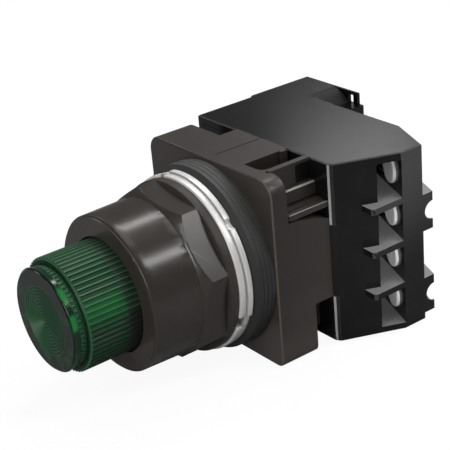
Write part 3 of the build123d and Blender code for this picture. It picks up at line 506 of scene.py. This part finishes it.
# %% Metals
def metal(name, dark, light, rough, grain, depth=0.003):
    """Bare metal. grain stretches its lines along x, y and z."""
    g = Graph(name)
    lines = g.noise(2.0, 5, grain)
    return g.finish(g.surface(Base_Color=g.mix(lines, dark, light), Metallic=1.0,
                              Roughness=rough + 0.15 * lines, Normal=g.bump(lines, depth)))


METALS = {
    "spring_steel": (grey(0.4), grey(0.6), 0.25, (1, 1, 1)),
    "core_steel": (grey(0.15), grey(0.25), 0.4, (9, 0.2, 0.2)),
    "contact_brass": ((0.5, 0.33, 0.12, 1), (0.75, 0.53, 0.2, 1), 0.25, (1, 1, 1)),
    "winding": ((0.35, 0.12, 0.05, 1), (0.55, 0.22, 0.09, 1), 0.35, (0.3, 0.3, 6)),
}
for name, recipe in METALS.items():
    finishes[name] = metal(name, *recipe)

# %% [markdown]
# ## Bright plated steel
#
# The rings and the clamp discs are plated bright and then brushed. A plated surface scatters a
# good part of the light, so it stays pale even where it mirrors something dark. The brush marks
# run round the rings and up and down on the discs.

# %% Bright steel
RING_SEAM = -7.0        # along y: the seam between the two rings
SEAM_SHADE = (0.22, 0.21, 0.2, 1)


def bright_steel():
    g = Graph("bright_steel")
    y = g.place()[1]
    disc = y.above(0.0)
    streaks = g.noise(1.0, 4, (7, 7, 0.25))
    rounds = g.noise(1.0, 4, (0.15, 5, 0.15))
    lines = disc * streaks + (1 - disc) * rounds
    brushed = lines.ramp(0.35, 0.65)
    color = g.mix(disc, g.mix(brushed, grey(0.84, 0.015), grey(0.97, 0.015)),
                  g.mix(brushed, grey(0.66), grey(0.95)))
    # Painted shade along the seam between the two rings.
    seam = (y - RING_SEAM).size().ramp(0.12, 0.05)
    return g.finish(g.surface(Base_Color=g.mix(seam * 0.7, color, SEAM_SHADE),
                              Metallic=0.3 - 0.2 * disc, Roughness=0.36 + 0.1 * lines,
                              Normal=g.bump(lines, 0.003)))


finishes["bright_steel"] = bright_steel()

# %% [markdown]
# ## Green lens
#
# The lens is one clear green moulding. Its barrel is fluted, so a glove can hold it, and each flute
# crest carries a thin painted line of light while the valleys stay dark. The front has fine rings
# that spread the lamp's light, and a plain rim round them that mirrors the room. Behind the rear
# part of the barrel stands the black sleeve, so the green is painted almost black there. The
# colours follow the shape through the distance from the axis, the place along it and the height
# round it.

# %% Places on the lens
LENS_FRONT = -43.4      # along y: the front of the disc
DISC_BACK = -41.7       # along y: the back of the disc, where the toothed groove begins
BARREL_FRONT = -40.3    # along y: the front of the fluted barrel
SLEEVE_EDGE = -31.0     # along y: the black sleeve stands behind this
RING_STEP = 7.5 / 10.5  # from one ring of the front to the next
RINGED_EDGE = 7.6       # the rings end at this distance from the axis
RIDGES = 64             # flutes round the barrel


def lens_place(g):
    """Distance from the axis and height round it, from -1 at the bottom to 1 at the top."""
    x, y, z = g.place()
    if "radius" not in g.kept:
        g.kept["radius"] = (x * x + z * z).root()
        g.kept["height"] = z / g.kept["radius"].most(0.5)
    return g.kept["radius"], g.kept["height"]


print("lens in front of the barrel:", round(BARREL_FRONT - LENS_FRONT, 2), "mm")

# %% [markdown]
# ### The barrel
#
# The solid has the flutes, and the colours follow them: the angle round the axis, counted in
# flutes, is a whole number on each crest, so its fraction tells a crest from a valley. The colours
# also change with the height: a painted glow at shoulder height and crests painted paler towards
# the top stand for light from above, and the rear is painted darker, near black low down, for the
# sleeve behind. A painted highlight lies on the barrel's front rim and painted shade in the step
# inside it. An image painted by hand could do this too, but it would have to be laid round the
# barrel first.

# %% Barrel of the lens
VALLEY = ((0.010, 0.054, 0.021, 1), (0.018, 0.20, 0.05, 1))
VALLEY_REAR = ((0.044, 0.068, 0.046, 1), (0.034, 0.044, 0.038, 1))
CREST = ((0.025, 0.11, 0.05, 1), (0.062, 0.38, 0.135, 1))
CREST_REAR = (0.03, 0.10, 0.05, 1)
CREST_SLEEVE = (0.012, 0.017, 0.016, 1)
BARREL_RIM_HIGHLIGHT = (0.04, 0.2, 0.08, 1)
BARREL_STEP_SHADE = (0.007, 0.026, 0.012, 1)


def lens_barrel(g, cloud):
    """Dark valleys, painted glow at shoulder height, crests with painted light, the sleeve behind.
    """
    x, y, z = g.place()
    radius, height = lens_place(g)
    # Painted darkness at the rear, near black low down, for the black sleeve behind.
    rear = y.ramp(SLEEVE_EDGE - 0.25, SLEEVE_EDGE + 0.25)
    smooth = height.ramp(0.2, 0.1)
    # Painted glow at shoulder height.
    glow = height.ramp(0.06, 0.3) * height.ramp(0.62, 0.4) * (0.6 + 0.6 * cloud)
    valley = g.mix(rear, g.mix(glow, *VALLEY), g.mix(smooth, *VALLEY_REAR))
    turn = z.angle(x) * (RIDGES / (2 * pi))
    phase = (turn + 0.5).fraction() - 0.5
    crest = phase.size().ramp(0.15, 0.05) * radius.above(12.3)
    # Painted light on the crests, stronger towards the top.
    line = g.mix(rear * 0.45, g.mix(height.ramp(-0.1, 0.3), *CREST), CREST_REAR)
    line = g.mix(rear * smooth, line, CREST_SLEEVE)
    # Painted highlight on the barrel's front rim.
    barrel = g.mix(1 - y.above(BARREL_FRONT + 0.41), g.mix(crest, valley, line), BARREL_RIM_HIGHLIGHT)
    # Painted shade in the step at the barrel's front.
    step = radius.ramp(12.05, 11.85) * (1 - y.above(BARREL_FRONT + 0.3))
    return g.mix(step, barrel, BARREL_STEP_SHADE)


print("one flute takes", round(360 / RIDGES, 2), "degrees")

# %% [markdown]
# ### The disc
#
# The disc's front has fine rings at an even step, inside a plain rim. The distance from the axis,
# counted in steps, gives the rings by its fraction. The rim carries painted green light in cloudy
# patches towards the bottom. The disc's side carries painted reflections at three heights and is
# dark between them, so it is coloured by the height alone.

# %% Disc of the lens
RING_COLORS = ((0.010, 0.042, 0.02, 1), (0.035, 0.2, 0.07, 1))
RIM = ((0.010, 0.019, 0.013, 1), (0.016, 0.08, 0.03, 1))
DISC_SIDE = ((0.014, 0.06, 0.026, 1), (0.04, 0.42, 0.10, 1))


def lens_disc(g, cloud, ringed):
    """A ringed middle, a rim with painted light low down, and painted reflections on the side."""
    radius, height = lens_place(g)
    ring = (radius / RING_STEP).fraction()
    rings = g.mix(ring.ramp(0.2, 0.45) * ring.ramp(0.75, 0.5), *RING_COLORS)
    # Painted green light in cloudy patches towards the bottom of the rim.
    rim = g.mix(cloud.ramp(0.45, 0.7) * height.ramp(0.75, 0.2), *RIM)
    # Painted reflections on the disc's side at three heights.
    side_glints = height.ramp(0.55, 0.68) * height.ramp(0.88, 0.78)
    side_glints = side_glints.most(height.ramp(0.1, 0.2) * height.ramp(0.46, 0.38))
    side_glints = side_glints.most(height.ramp(-0.94, -0.97))
    side = g.mix(side_glints * (0.6 + 0.5 * cloud), *DISC_SIDE)
    return g.mix(radius.ramp(10.95, 11.2), g.mix(ringed, rim, rings), side)


print("rings on the front:", round(RINGED_EDGE / RING_STEP))

# %% [markdown]
# ### The whole lens
#
# The groove, the disc and the barrel are told apart by their place along the axis. The surface is
# clear for about a third and coloured for the rest, so the pieces inside show through it while the
# green stays full. The inner wall has a brighter green than the outside.

# %% Green lens
GROOVE = ((0.006, 0.022, 0.011, 1), (0.06, 0.20, 0.11, 1))
LENS_INSIDE = (0.1, 0.45, 0.18, 1)


def lens_green():
    g = Graph("lens_green")
    y = g.place()[1]
    radius = lens_place(g)[0]
    cloud = g.noise(0.35, 3)
    ringed = radius.ramp(RINGED_EDGE + 0.15, RINGED_EDGE - 0.15)
    # Painted shade in the groove below radius 10.8, paler above it.
    groove = g.mix(radius.ramp(10.8, 11.0), *GROOVE)
    color = g.mix(y.above(DISC_BACK - 0.02), lens_disc(g, cloud, ringed), groove)
    color = g.mix(y.above(BARREL_FRONT - 0.02), color, lens_barrel(g, cloud))
    inside = radius.ramp(11.0, 10.5) * y.above(LENS_FRONT + 1.0)
    rough = y.ramp(DISC_BACK - 0.4, DISC_BACK, 0.12, 0.5)
    rough = rough + 0.25 * ringed * y.ramp(LENS_FRONT + 1.2, LENS_FRONT + 0.8)
    return g.finish(g.surface(Base_Color=g.mix(inside, color, LENS_INSIDE), Roughness=rough,
                              Transmission_Weight=0.35, IOR=1.49, Specular_IOR_Level=0.22))


finishes["lens_green"] = lens_green()

# %% [markdown]
# ## Inner pieces
#
# The lamp, its white diffuser and the insulators sit inside the housing, where they are seen only
# through the lens or the windows. A plain cloudy finish is enough for them.

# %% Plain finishes of the inner pieces
def plain(name, dark, light, rough):
    g = Graph(name)
    cloud = g.noise(0.6, 4)
    return g.finish(g.surface(Base_Color=g.mix(cloud, dark, light), Roughness=rough + 0.1 * cloud,
                              Normal=g.bump(g.noise(4, 2), 0.01)))


PLAIN = {
    "white_insulator": (grey(0.6, 0.03), grey(0.68, 0.03), 0.45),
    "diffuser_white": (grey(0.6), grey(0.7), 0.4),
    "lamp_glass": (grey(0.7), grey(0.75), 0.05),
}
for name, recipe in PLAIN.items():
    finishes[name] = plain(name, *recipe)
print("finishes:", len(finishes))

# %% [markdown]
# ### Finishes by name
#
# The record names a finish for every piece, so a loop can hand them out. The other way, a line for
# each piece, would have to be kept in step with the record by hand.

# %% Give each piece its finish
for entry in frame["record"]["subparts"]:
    piece = nodes[entry["node"]]
    material = finishes[entry["material_slot"]]
    for index in range(max(1, len(piece.material_slots))):
        if len(piece.material_slots) <= index:
            piece.data.materials.append(material)
        else:
            piece.material_slots[index].material = material

# %% [markdown]
# ## Springs on the moving parts
#
# A coil spring can't be a rigid piece of anything that moves: one end stays on its seat while the
# other goes with the button, the carrier, a bridge or the latch. Each spring here is a copy of its
# solid, with its own mesh, attached to one moving body.

# %% Springs
def spring_coil(node, name, body):
    """Copy of a CAD spring in spring steel, attached to a body in place of the hidden original."""
    data = nodes[node].data.copy()
    data.materials.clear()
    data.materials.append(finishes["spring_steel"])
    coil = bpy.data.objects.new(name, data)
    bpy.context.scene.collection.objects.link(coil)
    coil.matrix_world = nodes[node].matrix_world.copy()
    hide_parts(node)
    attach(coil, body)
    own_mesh(coil)
    return coil


spring_coil("return_spring", "return_coil", "operator")
spring_coil("carrier_spring", "carrier_coil", "operator")
spring_coil("spring_no", "make_coil", "carrier")
spring_coil("latch_spring", "latch_coil", "operator")

# %% [markdown]
# ## Floor
#
# The object lies on a pale floor. Seen straight from the camera the floor is nearly white and keeps
# a soft, light shadow of the object. Seen in a reflection it is grey, as a table in a dim studio
# is, so the undersides of the dark plastic don't turn pale.

# %% Floor
FLOOR_GREY = 0.37       # the floor as a mirror and a lamp see it
FLOOR_GLOW = 1.323      # with the share below, the floor comes out just short of white
CAMERA_SHARE = 0.7      # the glow's part for the camera; the rest keeps the shadow
CLEAR_SHARE = 0.5       # its part for rays that pass through the lens, and the room's white part
HALF_FLOOR = 1.5        # half the side of the sheet, in metres


def light_path_mix(tree, shares, first, second):
    """Shader between first and second by the kinds of ray in shares, each with its own part."""
    ray = tree.nodes.new("ShaderNodeLightPath")
    total = None
    for kind, part in shares:
        step = tree.nodes.new("ShaderNodeMath")
        step.operation = "MULTIPLY_ADD"
        tree.links.new(ray.outputs[kind], step.inputs[0])
        step.inputs[1].default_value = part
        step.inputs[2].default_value = 0.0
        if total is not None:
            tree.links.new(total, step.inputs[2])
        total = step.outputs[0]
    choice = tree.nodes.new("ShaderNodeMixShader")
    tree.links.new(total, choice.inputs[0])
    tree.links.new(first.outputs[0], choice.inputs[1])
    tree.links.new(second.outputs[0], choice.inputs[2])
    return choice


def floor_finish():
    material = bpy.data.materials.new("pale_floor")
    material.use_nodes = True
    tree = material.node_tree
    tree.nodes.clear()
    matt = tree.nodes.new("ShaderNodeBsdfDiffuse")
    matt.inputs["Color"].default_value = grey(FLOOR_GREY)
    glow = tree.nodes.new("ShaderNodeEmission")
    glow.inputs["Color"].default_value = grey(1.0)
    glow.inputs["Strength"].default_value = FLOOR_GLOW
    out = tree.nodes.new("ShaderNodeOutputMaterial")
    shares = (("Is Camera Ray", CAMERA_SHARE), ("Is Transmission Ray", CLEAR_SHARE))
    mixed = light_path_mix(tree, shares, matt, glow)
    tree.links.new(mixed.outputs[0], out.inputs["Surface"])
    return material


def add_floor():
    """A large plain sheet at the object's lowest point, marked as a backdrop."""
    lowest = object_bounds()[0][2]
    corners = [(x * HALF_FLOOR, y * HALF_FLOOR, lowest)
               for x, y in ((-1, -1), (1, -1), (1, 1), (-1, 1))]
    mesh = bpy.data.meshes.new("floor")
    mesh.from_pydata(corners, [], [(0, 1, 2, 3)])
    floor = bpy.data.objects.new("floor", mesh)
    bpy.context.scene.collection.objects.link(floor)
    mesh.materials.append(floor_finish())
    floor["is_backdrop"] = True
    return floor


floor = add_floor()
print("floor at", round(floor.data.vertices[0].co.z / MM, 2), "mm")

# %% [markdown]
# ## Light
#
# A product picture of a dark glossy object is lit by its reflections. A large lamp overhead gives
# the tops their level. Two long lamps, one behind at the right and one behind at the left, draw
# the two pale streaks along the nut. A small lamp behind at the left lies in the mirror direction
# of the block's top and gives it its gradient. Two soft lamps in front, one low and one high, and
# two fills, one at the left and one behind, keep every side readable. A narrow spot reaches into
# the terminal pockets; it isn't mirrored anywhere, or its small bright disc would sit on the
# block's top in the views from behind.

# %% Lamps
AIM = (0, 10, 0)        # on the axis, a little behind the front of the flange


def toward(azimuth, elevation):
    """Direction from the object. Azimuth 0 is in front of the lens, 90 is the terminals' side."""
    a = radians(azimuth)
    e = radians(elevation)
    return Vector((sin(a) * cos(e), -cos(a) * cos(e), sin(e)))


def hang(name, data, azimuth, elevation, distance, power, target):
    """Puts a lamp at a distance, in millimetres, from the point it is aimed at."""
    data.energy = power
    lamp = bpy.data.objects.new(name, data)
    aim = Vector(target) * MM
    lamp.location = aim + toward(azimuth, elevation) * distance * MM
    bpy.context.scene.collection.objects.link(lamp)
    print(name, [round(c / MM) for c in lamp.location])
    return lamp, (lamp.location - aim).normalized()


def add_lamp(name, azimuth, elevation, distance, size, power, target=AIM):
    """Soft rectangular lamp. size is its width and its length, which runs with the travel axis."""
    data = bpy.data.lights.new(name, "AREA")
    data.shape = "RECTANGLE"
    data.size = size[0] * MM
    data.size_y = size[1] * MM
    lamp, back = hang(name, data, azimuth, elevation, distance, power, target)
    side = Vector((0, 1, 0)).cross(back).normalized()
    long = back.cross(side)
    lamp.matrix_world = Matrix((
        (side.x, long.x, back.x, lamp.location.x),
        (side.y, long.y, back.y, lamp.location.y),
        (side.z, long.z, back.z, lamp.location.z),
        (0, 0, 0, 1),
    ))


def add_spot(name, azimuth, elevation, distance, cone, narrow, radius, power, target):
    """Narrow lamp with an upright oval beam. cone is its full angle in degrees, narrow is the
    beam's width as a share of its height, and radius is the lamp's own size in millimetres."""
    data = bpy.data.lights.new(name, "SPOT")
    data.spot_size = radians(cone)
    data.spot_blend = 0.5
    data.shadow_soft_size = radius * MM
    lamp, back = hang(name, data, azimuth, elevation, distance, power, target)
    lamp.rotation_euler = back.to_track_quat("Z", "Y").to_euler()
    lamp.scale = (narrow, 1, 1)
    lamp.visible_glossy = False


print("from the object to the camera:", [round(c, 2) for c in toward(AZIMUTH, ELEVATION)])

# %% [markdown]
# ### Hanging the lamps
#
# Each line gives a lamp's azimuth, elevation and distance, then its size and its power. The spot's
# line has its beam's angle, the beam's narrowness and its own size instead of a width and a length.
# A good way to set such powers is to render each lamp alone first, to see what it lifts.

# %% Hang the lamps
add_lamp("overhead_lamp", 180, 85, 600, (300, 300), 0.42)
add_lamp("right_rear_strip", 130, 42, 500, (78, 300), 0.86, target=(14, -18, 13))
add_lamp("left_rear_strip", -145, 55, 500, (74, 300), 0.68, target=(6, -18, 17))
add_lamp("block_top_lamp", -132.5, 25.5, 600, (85, 90), 0.068, target=(20, 25, 21.7))
add_lamp("front_lamp", 15, 12, 600, (180, 180), 0.92)
add_lamp("upper_front_lamp", 15, 38, 600, (180, 180), 0.47)
add_lamp("left_fill", -85, 36, 600, (200, 200), 0.32)
add_lamp("rear_fill", 180, 30, 600, (200, 200), 0.45)
add_spot("terminal_spot", 47, 20, 600, 4.7, 0.5, 14, 13.0, target=(27, 26, -0.5))

# %% [markdown]
# ## Room
#
# The room round the object is dim, so that the dark plastic stays dark, and only the camera and the
# light that passes through the lens see it as white.

# %% Room
ROOM_GREY = 0.12


def add_room():
    world = bpy.data.worlds.new("room")
    world.use_nodes = True
    tree = world.node_tree
    tree.nodes.clear()
    room = tree.nodes.new("ShaderNodeBackground")
    room.inputs["Color"].default_value = grey(ROOM_GREY)
    white = tree.nodes.new("ShaderNodeBackground")
    white.inputs["Color"].default_value = grey(1.0)
    out = tree.nodes.new("ShaderNodeOutputWorld")
    shares = (("Is Camera Ray", 1.0), ("Is Transmission Ray", CLEAR_SHARE))
    mixed = light_path_mix(tree, shares, room, white)
    tree.links.new(mixed.outputs[0], out.inputs["Surface"])
    return world


bpy.context.scene.world = add_room()
bpy.context.scene.view_settings.view_transform = "Standard"
print("room grey:", ROOM_GREY)
